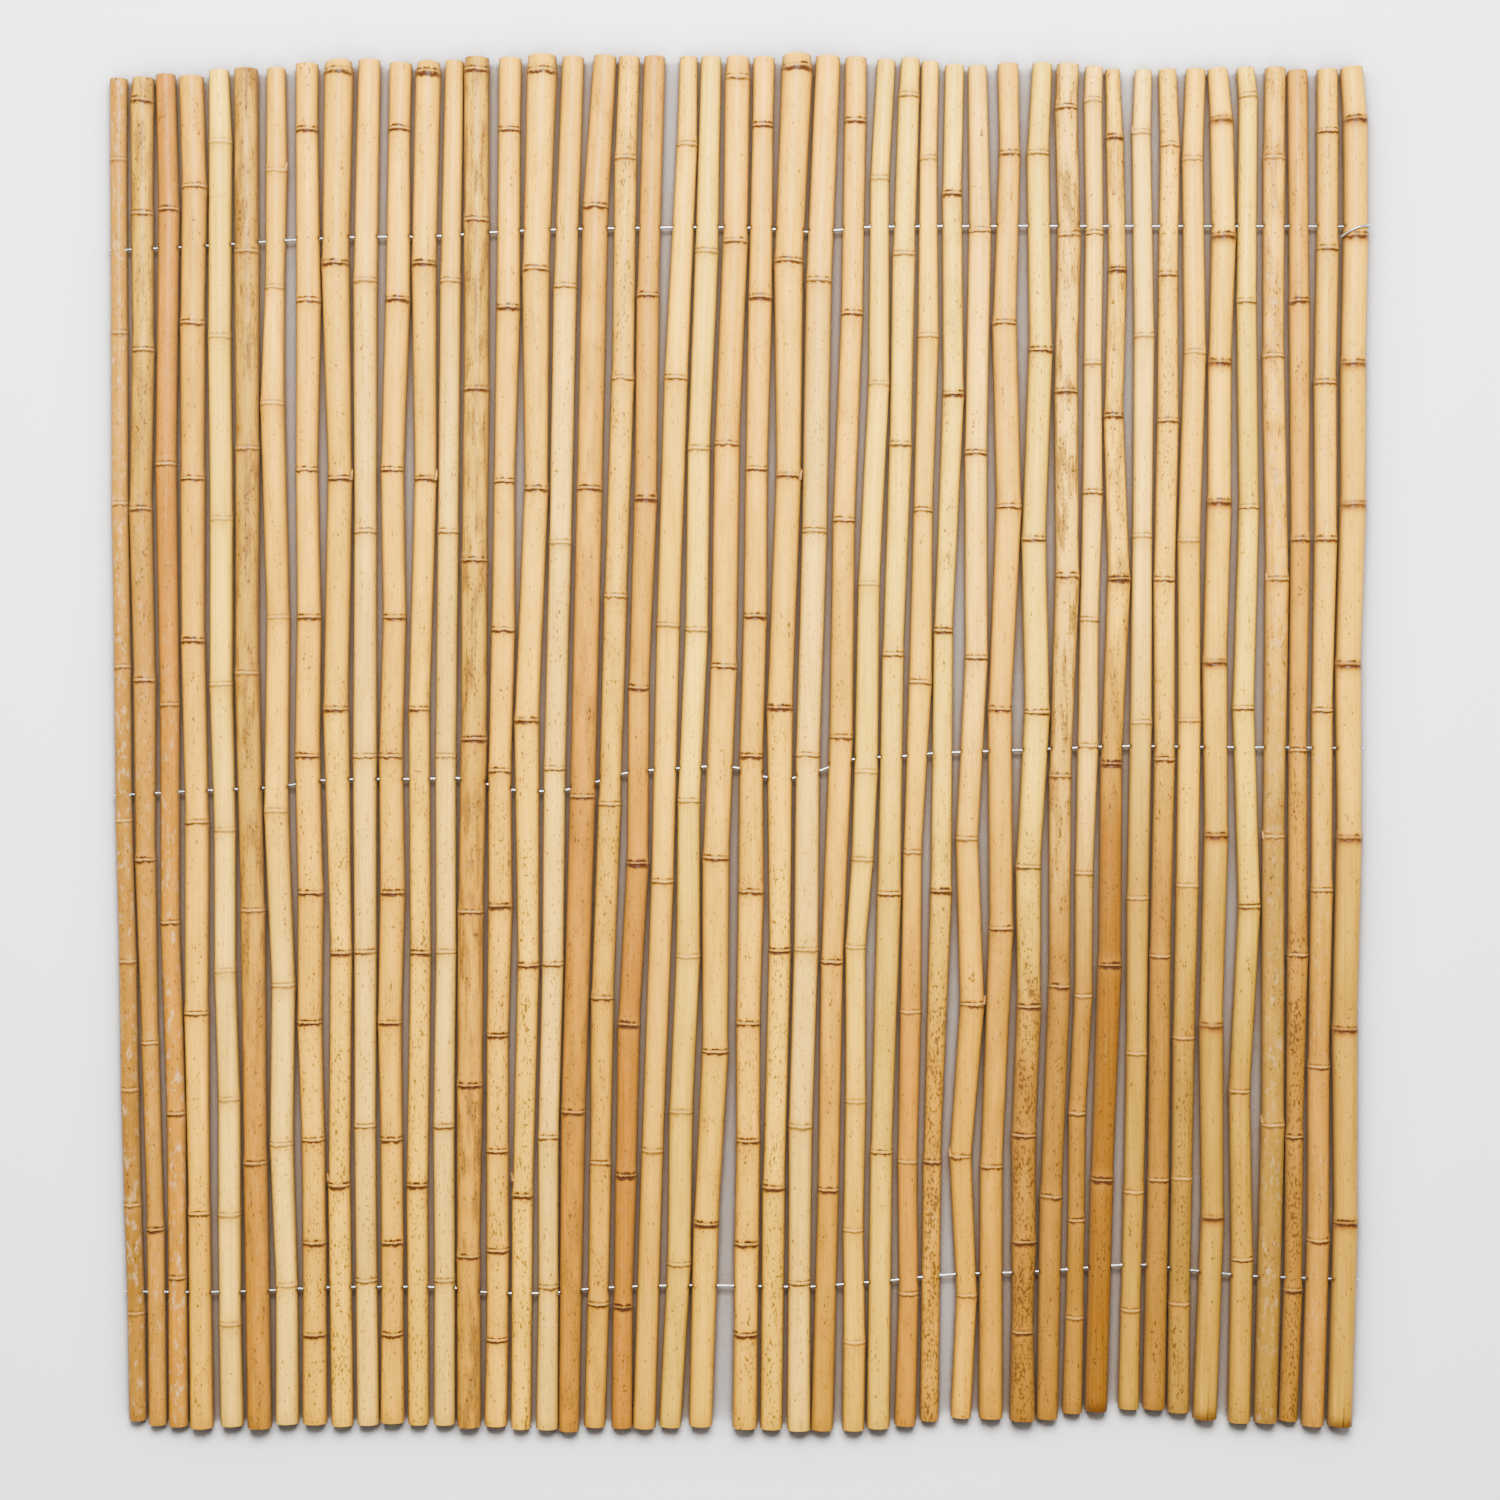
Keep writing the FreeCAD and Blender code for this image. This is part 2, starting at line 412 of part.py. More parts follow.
def check(doc, pieces):
    for item in doc.Objects:
        if "Invalid" in item.State or "Error" in item.State:
            raise RuntimeError("%s did not build" % item.Name)
    for piece in pieces:
        if piece.Shape.isNull() or not piece.Shape.isValid() or len(piece.Shape.Solids) != 1:
            raise RuntimeError("%s is not one sound solid" % piece.Label)


def centre_on_origin(pieces):
    """Moves the whole row so that the origin is at the bottom centre of its box."""
    box = FreeCAD.BoundBox()
    for piece in pieces:
        box.add(piece.Shape.BoundBox)
    shift = Vector(-box.Center.x, -box.Center.y, -box.ZMin)
    for piece in pieces:
        piece.Placement = Placement(shift, Rotation())


def main():
    doc = FreeCAD.newDocument("bamboo_screening")
    sheet = write_sheet(doc)
    pieces = build(doc, sheet)
    check(doc, pieces)
    centre_on_origin(pieces)
    os.makedirs("parts", exist_ok=True)
    for piece in pieces:
        piece.Shape.exportStep(os.path.join("parts", piece.Label + ".step"))
    print("%d pieces written" % len(pieces))


main()
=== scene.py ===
# Bamboo screening, unrolled on a pale floor: culms strung on three galvanised wires, seen from above.
import math
import random

import bmesh
import bpy
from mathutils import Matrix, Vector


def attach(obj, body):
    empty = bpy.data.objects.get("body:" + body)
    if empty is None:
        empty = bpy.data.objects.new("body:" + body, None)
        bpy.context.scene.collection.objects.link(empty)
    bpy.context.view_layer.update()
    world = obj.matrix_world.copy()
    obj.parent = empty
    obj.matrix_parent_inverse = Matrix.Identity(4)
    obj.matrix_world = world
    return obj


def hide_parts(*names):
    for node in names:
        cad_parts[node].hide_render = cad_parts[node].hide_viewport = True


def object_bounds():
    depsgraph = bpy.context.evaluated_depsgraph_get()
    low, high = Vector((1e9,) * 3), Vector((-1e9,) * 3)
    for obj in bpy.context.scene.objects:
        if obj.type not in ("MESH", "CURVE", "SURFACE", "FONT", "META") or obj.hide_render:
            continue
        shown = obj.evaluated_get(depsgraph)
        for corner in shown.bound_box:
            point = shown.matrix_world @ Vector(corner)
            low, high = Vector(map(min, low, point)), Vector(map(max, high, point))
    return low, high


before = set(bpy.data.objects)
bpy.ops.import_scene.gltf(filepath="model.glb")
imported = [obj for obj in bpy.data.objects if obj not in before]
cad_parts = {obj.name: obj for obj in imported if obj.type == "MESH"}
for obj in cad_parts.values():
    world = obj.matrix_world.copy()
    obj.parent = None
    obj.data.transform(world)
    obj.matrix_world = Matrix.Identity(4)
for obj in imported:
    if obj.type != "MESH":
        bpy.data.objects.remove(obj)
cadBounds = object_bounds()
mm = 0.001
culmCount = sum(name.startswith("pole_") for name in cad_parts)

# Bamboo tones as linear colours, set by eye and with average colours that scratch scripts read from the
# photograph and from the render
tones = {
    "cream": (0.93, 0.53, 0.050), "pinkCream": (0.92, 0.49, 0.040), "yellowCream": (0.93, 0.54, 0.016),
    "greenCream": (0.86, 0.50, 0.010), "golden": (0.90, 0.46, 0.008), "honey": (0.84, 0.40, 0.008),
    "straw": (0.80, 0.40, 0.008), "peach": (0.78, 0.37, 0.014), "oliveBeige": (0.70, 0.385, 0.016),
    "amber": (0.70, 0.32, 0.006), "olive": (0.46, 0.235, 0.014), "tan": (0.45, 0.195, 0.012),
    "orange": (0.49, 0.195, 0.008), "reddish": (0.49, 0.195, 0.006), "khaki": (0.34, 0.175, 0.016),
    "deepOrange": (0.40, 0.148, 0.006), "paleTan": (0.84, 0.47, 0.045), "oldStraw": (0.56, 0.295, 0.012),
    "ochre": (0.56, 0.25, 0.008), "umber": (0.33, 0.145, 0.012), "rust": (0.24, 0.089, 0.005),
}

# How each culm looks: tone at its head, tone at its foot and the height in metres where they meet, then
# how dark and how wide its node lines are, and its specks, mottling and dust, each at head and at foot.
# Many of the tones are the ones that such a script gave as nearest to the photograph's at head and foot.
looks = [
    ("tan", "umber", 0.70, 0.5, 1.0, (0.2, 0.3), (0.2, 0.2), (0.7, 0.6)),
    ("oldStraw", "tan", 0.85, 0.7, 1.0, (0.6, 0.3), (0.8, 0.3), (0.1, 0.3)),
    ("deepOrange", "reddish", 0.60, 0.7, 1.0, (0.2, 0.2), (0.3, 0.3), (0.1, 0.8)),
    ("amber", "honey", 0.60, 0.8, 1.0, (0.2, 0.3), (0.3, 0.2), (0.0, 0.1)),
    ("yellowCream", "cream", 0.60, 0.4, 0.8, (0.0, 0.1), (0.0, 0.1), (0.0, 0.0)),
    ("olive", "orange", 0.40, 0.6, 1.0, (0.5, 0.4), (1.0, 0.7), (0.1, 0.1)),
    ("honey", "cream", 0.50, 0.5, 0.8, (0.1, 0.2), (0.2, 0.1), (0.0, 0.0)),
    ("honey", "honey", 0.60, 0.9, 1.0, (0.1, 0.5), (0.2, 0.2), (0.0, 0.0)),
    ("straw", "golden", 0.60, 0.9, 1.2, (0.2, 0.6), (0.2, 0.2), (0.0, 0.0)),
    ("honey", "paleTan", 1.03, 0.6, 0.9, (0.1, 0.3), (0.2, 0.1), (0.0, 0.1)),
    ("honey", "honey", 0.60, 0.9, 1.0, (0.1, 0.4), (0.2, 0.2), (0.0, 0.0)),
    ("straw", "golden", 0.60, 0.9, 1.2, (0.2, 0.6), (0.2, 0.2), (0.0, 0.0)),
    ("honey", "paleTan", 1.03, 0.6, 0.9, (0.1, 0.3), (0.2, 0.1), (0.0, 0.1)),
    ("oldStraw", "ochre", 0.60, 0.9, 1.0, (0.5, 0.4), (1.0, 1.0), (0.1, 0.1)),
    ("honey", "honey", 0.60, 0.9, 1.0, (0.1, 0.5), (0.2, 0.2), (0.0, 0.0)),
    ("straw", "golden", 0.60, 0.9, 1.2, (0.2, 0.6), (0.2, 0.2), (0.0, 0.0)),
    ("honey", "paleTan", 1.03, 0.6, 0.9, (0.1, 0.3), (0.2, 0.1), (0.0, 0.1)),
    ("amber", "orange", 0.75, 0.9, 1.1, (0.2, 0.4), (0.4, 0.6), (0.0, 0.0)),
    ("straw", "amber", 0.45, 0.7, 0.9, (0.5, 0.4), (0.3, 0.4), (0.1, 0.1)),
    ("ochre", "deepOrange", 0.55, 1.0, 1.2, (0.2, 0.3), (0.2, 0.3), (0.0, 0.1)),
    ("golden", "peach", 0.55, 0.6, 0.9, (0.1, 0.1), (0.1, 0.1), (0.0, 0.0)),
    ("yellowCream", "oliveBeige", 0.45, 0.5, 0.9, (0.1, 0.2), (0.0, 0.2), (0.0, 0.0)),
    ("honey", "straw", 0.60, 0.8, 1.1, (0.1, 0.2), (0.2, 0.2), (0.0, 0.0)),
    ("honey", "honey", 0.60, 0.9, 1.0, (0.1, 0.5), (0.2, 0.2), (0.0, 0.0)),
    ("straw", "golden", 0.60, 0.9, 1.2, (0.2, 0.6), (0.2, 0.2), (0.0, 0.0)),
    ("honey", "paleTan", 1.03, 0.6, 0.9, (0.1, 0.3), (0.2, 0.1), (0.0, 0.1)),
    ("honey", "ochre", 0.45, 0.8, 1.0, (0.2, 0.3), (0.3, 0.3), (0.0, 0.0)),
    ("yellowCream", "straw", 0.45, 0.5, 0.8, (0.0, 0.1), (0.0, 0.1), (0.0, 0.0)),
    ("yellowCream", "oliveBeige", 0.60, 0.7, 0.9, (0.2, 0.2), (0.1, 0.1), (0.0, 0.0)),
    ("golden", "orange", 0.50, 0.6, 0.8, (0.1, 0.2), (0.1, 0.3), (0.0, 0.0)),
    ("yellowCream", "ochre", 0.45, 1.0, 1.3, (0.3, 1.0), (0.3, 0.5), (0.1, 0.1)),
    ("pinkCream", "amber", 0.60, 0.7, 0.9, (0.2, 0.2), (0.1, 0.1), (0.0, 0.0)),
    ("honey", "ochre", 0.60, 0.7, 1.0, (0.1, 0.2), (0.2, 0.3), (0.2, 0.1)),
    ("yellowCream", "umber", 0.45, 0.8, 1.0, (0.2, 1.0), (0.1, 0.7), (0.0, 0.0)),
    ("pinkCream", "umber", 0.55, 0.7, 1.0, (0.6, 0.5), (0.9, 0.5), (0.0, 0.0)),
    ("pinkCream", "umber", 0.50, 0.6, 0.8, (0.1, 0.3), (0.0, 0.1), (0.0, 0.0)),
    ("golden", "rust", 0.66, 1.0, 1.4, (0.5, 0.5), (0.7, 0.6), (0.0, 0.0)),
    ("cream", "olive", 0.60, 0.5, 0.8, (0.0, 0.2), (0.0, 0.2), (0.0, 0.0)),
    ("golden", "umber", 0.62, 0.8, 0.9, (0.5, 0.4), (0.2, 0.3), (0.0, 0.0)),
    ("straw", "khaki", 0.45, 0.5, 0.8, (0.1, 0.6), (0.0, 0.3), (0.0, 0.0)),
    ("golden", "olive", 0.60, 0.7, 2.4, (0.1, 0.2), (0.1, 0.1), (0.0, 0.0)),
    ("greenCream", "olive", 0.45, 0.7, 0.9, (0.2, 0.4), (0.1, 0.1), (0.0, 0.0)),
    ("honey", "khaki", 0.66, 0.6, 0.9, (0.4, 0.3), (0.6, 0.5), (0.6, 0.4)),
    ("ochre", "umber", 0.50, 0.8, 1.2, (0.3, 0.9), (0.3, 0.5), (0.0, 0.0)),
    ("straw", "tan", 0.48, 0.8, 1.0, (0.2, 0.2), (0.2, 0.2), (0.3, 0.2)),
    ("straw", "olive", 0.50, 0.7, 2.4, (0.1, 0.2), (0.1, 0.1), (0.0, 0.0)),
]

culm = {
    "sides": 26,
    # Where its rings lie, in mm: around a node, around a drilled hole and above the foot
    "nodeSteps": (-13, -8, -5, -3.4, -2.4, -1.7, -1.1, -0.6, -0.1, 0.5, 1.2, 2.0, 3.0, 4.4, 6.5, 9.5, 14),
    "holeSteps": (-4, -2.4, -1.2, 0, 1.2, 2.4, 4),
    "footSteps": (1.5, 3, 5, 8, 12, 20, 30),
    "internodeStep": 14 * mm,
    "leastStep": 0.2 * mm,
    # What counts as a section in the frame's mesh, as a collar, and as a seam between two sections
    "lowest": 1.5 * mm,
    "leastHeight": 8 * mm,
    "collarRise": 0.4 * mm,
    "seam": {"y": 0.6 * mm, "x": 0.15 * mm, "radius": 0.1 * mm},
    # Nodes
    "lip": 0.45 * mm,  # how far a node stands out from the internode below it
    "ringedStep": 1.0 * mm,  # how far a node with a collar stands out from the internode above it
    "smoothStep": 0.6 * mm,  # the same for any other node
    "nodeReach": 15 * mm,
    "swellCentre": 0.4 * mm,
    "swellWidth": 5.5 * mm,
    "groove": 0.35 * mm,
    "scar": (-0.8 * mm, 0.8 * mm),  # the groove under the node's ring: centre and width
    "dip": (2.2 * mm, 0.9 * mm),  # the shallower one over it
    "dipDepth": 0.5,
    # Cut ends
    "wall": 3.2 * mm,
    "hollow": 40 * mm,
    "leastHollow": 1.5 * mm,
    "diaphragm": 4 * mm,
    "rimSlack": 3 * mm,
    # Tone along a culm
    "shade": (0.86, 1.08),  # spread of brightness between internodes
    "darkSpread": (0.75, 1.1),
    "widthSpread": (0.8, 1.25),
    "blend": 260 * mm,  # length over which the head's tone turns into the foot's
    # Painted light: the tone brighter at the head and darker at the foot
    "paintedLight": (0.93, 1.06),  # brightness at the foot and at the head
    # Painted shade: the height over which the culm darkens around each drilled hole
    "holeShade": 2.0 * mm,  # half height of the dark rim of a drilled hole
    "burntFeet": {37: 0.95, 41: 0.9, 46: 0.9},
    # Painted shade: how dark every other foot is made, in the browned feet's colour
    "footShade": 0.25,
    "burn": 8 * mm,
    "cracked": (41, 46),
    "crack": 34 * mm,
}


def mixed(low, high, part):
    return [a + (b - a) * part for a, b in zip(low, high)]


def makeObject(name, data):
    obj = bpy.data.objects.new(name, data)
    bpy.context.collection.objects.link(obj)
    return obj


def evaluatedMesh(obj):
    depsgraph = bpy.context.evaluated_depsgraph_get()
    return bpy.data.meshes.new_from_object(obj.evaluated_get(depsgraph), depsgraph=depsgraph)


def bakeModifiers(obj):
    mesh = evaluatedMesh(obj)
    obj.modifiers.clear()
    old = obj.data
    obj.data = mesh
    bpy.data.meshes.remove(old)


def shadeSmooth(obj, sharpAngle=math.radians(50)):
    obj.data.shade_smooth()
    obj.data.set_sharp_from_angle(angle=sharpAngle)


def addLayer(mesh, name, kind, values):
    field = {"FLOAT": "value", "FLOAT_COLOR": "color", "FLOAT_VECTOR": "vector"}[kind]
    for item, value in zip(mesh.attributes.new(name, kind, "POINT").data, values):
        setattr(item, field, value)


# Node trees: one call adds a node with its settings and its inputs, each a value or a socket
def addNode(tree, kind, settings=None, **inputs):
    item = tree.nodes.new(kind)
    for name, value in (settings or {}).items():
        setattr(item, name, value)
    for name, value in inputs.items():
        key = int(name[1:]) if name[0] == "i" and name[1:].isdigit() else name.replace("_", " ")
        socket = item.inputs[key]
        if isinstance(value, bpy.types.NodeSocket):
            tree.links.new(value, socket)
        else:
            socket.default_value = value
    return item


def math2(tree, operation, a, b=0.0):
    return addNode(tree, "ShaderNodeMath", {"operation": operation}, i0=a, i1=b).outputs[0]


def times(tree, first, *others):
    for other in others:
        first = math2(tree, "MULTIPLY", first, other)
    return first


def bell(tree, distance, centre, width):
    offset = math2(tree, "DIVIDE", math2(tree, "SUBTRACT", distance, centre), width)
    return math2(tree, "EXPONENT", times(tree, offset, offset, -1.0))


def mapRange(tree, value, low, high, toLow, toHigh):
    item = addNode(tree, "ShaderNodeMapRange", None, i0=value, i1=low, i2=high, i3=toLow, i4=toHigh)
    return item.outputs[0]


def newTree(name, kind, inputs, outputs):
    tree = bpy.data.node_groups.new(name, kind)
    for label, socketType, value in inputs:
        socket = tree.interface.new_socket(label, in_out="INPUT", socket_type=socketType)
        if value is not None:
            socket.default_value = value
    for label, socketType in outputs:
        tree.interface.new_socket(label, in_out="OUTPUT", socket_type=socketType)
    return tree, tree.nodes.new("NodeGroupInput"), tree.nodes.new("NodeGroupOutput")


def addTreeModifier(obj, tree, values):
    modifier = obj.modifiers.new(tree.name, "NODES")
    modifier.node_group = tree
    for item in tree.interface.items_tree:
        if item.in_out == "INPUT" and item.name in values:
            modifier[item.identifier] = values[item.name]


def finishTree(tree, geometry, source, sink, label):
    solid = addNode(tree, "GeometryNodeRealizeInstances", None, Geometry=geometry).outputs[0]
    finished = addNode(tree, "GeometryNodeSetMaterial", None, Geometry=solid,
                       Material=source.outputs["Bamboo"]).outputs[0]
    tree.links.new(finished, sink.inputs[label])
    return tree


# Grain: noise scales per metre across, along and through a culm, then detail and roughness
grain = {
    "cloud": ((90.0, 14.0, 90.0), 3.0, 0.5),
    "wobble": ((170.0, 60.0, 170.0), 4.0, 0.5),
    "jagged": ((650.0, 650.0, 650.0), 3.0, 0.5),
    "spots": ((520.0, 260.0, 520.0), 2.5, 0.5),
    "patches": ((120.0, 26.0, 120.0), 3.0, 0.5),
    "strokes": ((640.0, 110.0, 640.0), 2.0, 0.5),
    "blots": ((210.0, 95.0, 210.0), 6.0, 0.65),
}
fibres = {"across": 420.0, "along": 7.0, "detail": 5.0, "roughness": 0.62}

# Node marks: centre and width in metres from the node, and how the noise shifts and fades them
nodeMarks = {
    "scar": (-0.0008, 0.0015), "scarFade": (0.32, 0.5, 0.6, 1.0),
    "ridge": (0.0030, 0.0011), "ridgeFade": (0.42, 0.6, 0.95, 0.25),
    "bloom": (0.0012, 0.0014), "blush": (0.0, 0.009), "band": (-0.0015, 0.0042),
    "wobble": 0.0038, "jagged": 0.0022,
}

# Specks: the noise value from which they show, and what lowers it
speckMarks = {
    "speck": 0.835, "speckDensity": 0.15, "speckPatch": 0.30,
    "knot": 0.735, "knotDensity": 0.06,
    "edge": 0.05,
    "dash": (0.665, 0.72, 0.0, 1.0),
}


def scaledNoise(tree, scale, detail, roughness):
    coordinates = addNode(tree, "ShaderNodeTexCoord").outputs["Object"]
    stretched = addNode(tree, "ShaderNodeVectorMath", {"operation": "MULTIPLY"}, i0=coordinates, i1=scale)
    noise = addNode(tree, "ShaderNodeTexNoise", None, Vector=stretched.outputs[0], Scale=1.0,
                    Detail=detail, Roughness=roughness)
    return noise.outputs["Fac"]


def makeFibreGroup():
    tree, source, sink = newTree(
        "fibreStreaks", "ShaderNodeTree",
        [("Across", "NodeSocketFloat", fibres["across"]), ("Along", "NodeSocketFloat", fibres["along"])],
        [("Fibre", "NodeSocketFloat"), ("Cloud", "NodeSocketFloat")])
    scale = addNode(tree, "ShaderNodeCombineXYZ", None, X=source.outputs["Across"],
                    Y=source.outputs["Along"], Z=source.outputs["Across"]).outputs[0]
    tree.links.new(scaledNoise(tree, scale, fibres["detail"], fibres["roughness"]), sink.inputs["Fibre"])
    tree.links.new(scaledNoise(tree, *grain["cloud"]), sink.inputs["Cloud"])
    return tree


def makeNodeBandGroup():
    labels = ("Line", "Bloom", "Blush", "Band")
    tree, source, sink = newTree(
        "nodeBands", "ShaderNodeTree",
        [("Distance", "NodeSocketFloat", 1.0), ("Width", "NodeSocketFloat", 1.0)],
        [(label, "NodeSocketFloat") for label in labels])
    wobble = scaledNoise(tree, *grain["wobble"])
    jagged = scaledNoise(tree, *grain["jagged"])
    shift = math2(tree, "ADD", times(tree, math2(tree, "SUBTRACT", wobble, 0.5), nodeMarks["wobble"]),
                  times(tree, math2(tree, "SUBTRACT", jagged, 0.5), nodeMarks["jagged"]))
    distance = math2(tree, "ADD", source.outputs["Distance"], shift)
    lines = []
    for mark in ("scar", "ridge"):
        centre, width = nodeMarks[mark]
        line = bell(tree, distance, centre, times(tree, source.outputs["Width"], width))
        lines.append(times(tree, line, mapRange(tree, wobble, *nodeMarks[mark + "Fade"])))
    tree.links.new(math2(tree, "MAXIMUM", *lines), sink.inputs["Line"])
    for label in labels[1:]:
        tree.links.new(bell(tree, distance, *nodeMarks[label.lower()]), sink.inputs[label])
    return tree


def makeSpeckGroup():
    labels = ("Specks", "Patches", "Dashes", "Knots", "Blots")
    tree, source, sink = newTree(
        "specks", "ShaderNodeTree",
        [("Density", "NodeSocketFloat", 0.3)],
        [(label, "NodeSocketFloat") for label in labels])
    density = source.outputs["Density"]
    spots, patches, strokes, blots = (
        scaledNoise(tree, *grain[name]) for name in ("spots", "patches", "strokes", "blots"))
    least = math2(tree, "SUBTRACT", speckMarks["speck"], times(tree, density, speckMarks["speckDensity"]))
    least = math2(tree, "SUBTRACT", least, times(tree, patches, speckMarks["speckPatch"]))
    specks = addNode(tree, "ShaderNodeMapRange", {"interpolation_type": "SMOOTHSTEP"}, Value=spots,
                     i1=least, i2=math2(tree, "ADD", least, speckMarks["edge"])).outputs[0]
    dashes = mapRange(tree, strokes, *speckMarks["dash"])
    rare = math2(tree, "SUBTRACT", speckMarks["knot"], times(tree, density, speckMarks["knotDensity"]))
    knots = mapRange(tree, blots, rare, math2(tree, "ADD", rare, speckMarks["edge"]), 0.0, 1.0)
    for label, result in zip(labels, (specks, patches, dashes, knots, blots)):
        tree.links.new(result, sink.inputs[label])
    return tree


groups = {"fibre": makeFibreGroup(), "nodeBands": makeNodeBandGroup(), "specks": makeSpeckGroup()}


def useGroup(tree, name, **inputs):
    return addNode(tree, "ShaderNodeGroup", {"node_tree": groups[name]}, **inputs).outputs


def mixColor(tree, factor, a, b, blend="MIX"):
    item = addNode(tree, "ShaderNodeMix", {"data_type": "RGBA", "blend_type": blend}, i0=factor, i6=a, i7=b)
    return item.outputs[2]


def readAttribute(tree, name, output):
    return addNode(tree, "ShaderNodeAttribute", {"attribute_name": name}).outputs[output]


def newMaterial(name):
    material = bpy.data.materials.new(name)
    material.use_nodes = True
    tree = material.node_tree
    return material, tree, tree.nodes["Principled BSDF"]


# Marks on a culm: their linear colours, then how strong they are or how their noise is mapped
paint = {
    "mottle": (0.20, 0.088, 0.010, 1.0), "speck": (0.07, 0.026, 0.008, 1.0), "dash": (0.12, 0.05, 0.010, 1.0),
    "knot": (0.06, 0.022, 0.008, 1.0), "dust": (0.56, 0.38, 0.19, 1.0), "blush": (0.40, 0.165, 0.012, 1.0),
    "bloom": (0.74, 0.42, 0.10, 1.0), "band": (0.24, 0.085, 0.012, 1.0), "line": (0.055, 0.018, 0.006, 1.0),
    "footBurnAndShade": (0.08, 0.028, 0.006, 1.0), "crack": (0.03, 0.012, 0.006, 1.0),
    # The last two colours are painted shade: on the sides between culms and around the drilled holes
    "paintedFlankShade": (0.15, 0.080, 0.030, 1.0), "rim": (0.03, 0.014, 0.008, 1.0),
}
marks = {
    "light": (0.32, 0.68, 0.76, 1.10), "cloud": (0.3, 0.7, 0.90, 1.08),
    "patchPart": 0.55, "fibrePart": 0.45, "mottle": (0.47, 0.57, 0.0, 0.9),
    "speck": 0.8, "dash": 0.7, "knot": 0.85, "dust": (0.46, 0.36, 0.0, 0.7),
    "near": 20.0, "blush": 0.35, "bloom": 0.38, "line": 1.7, "widestLine": 1.3,
    "band": (1.75, 1.9, 0.0, 0.85),
    "crackWander": 0.12, "crack": (0.16, 0.05),
    # The next row maps painted shade, on the sides between culms and around the drilled holes
    "paintedFlankShade": (0.26, 0.80, 0.94, 0.0), "paintedShadeCloud": (0.3, 0.7, 1.0, 0.86), "rim": (0.72, 0.92, 0.0, 0.85),
    "specular": 0.07, "rough": (0.3, 0.7, 0.22, 0.34), "wornRough": 0.25,
    "bumpFibre": 0.35, "bumpLine": 0.6, "bumpStrength": 0.5, "bumpDistance": 0.0004,
}


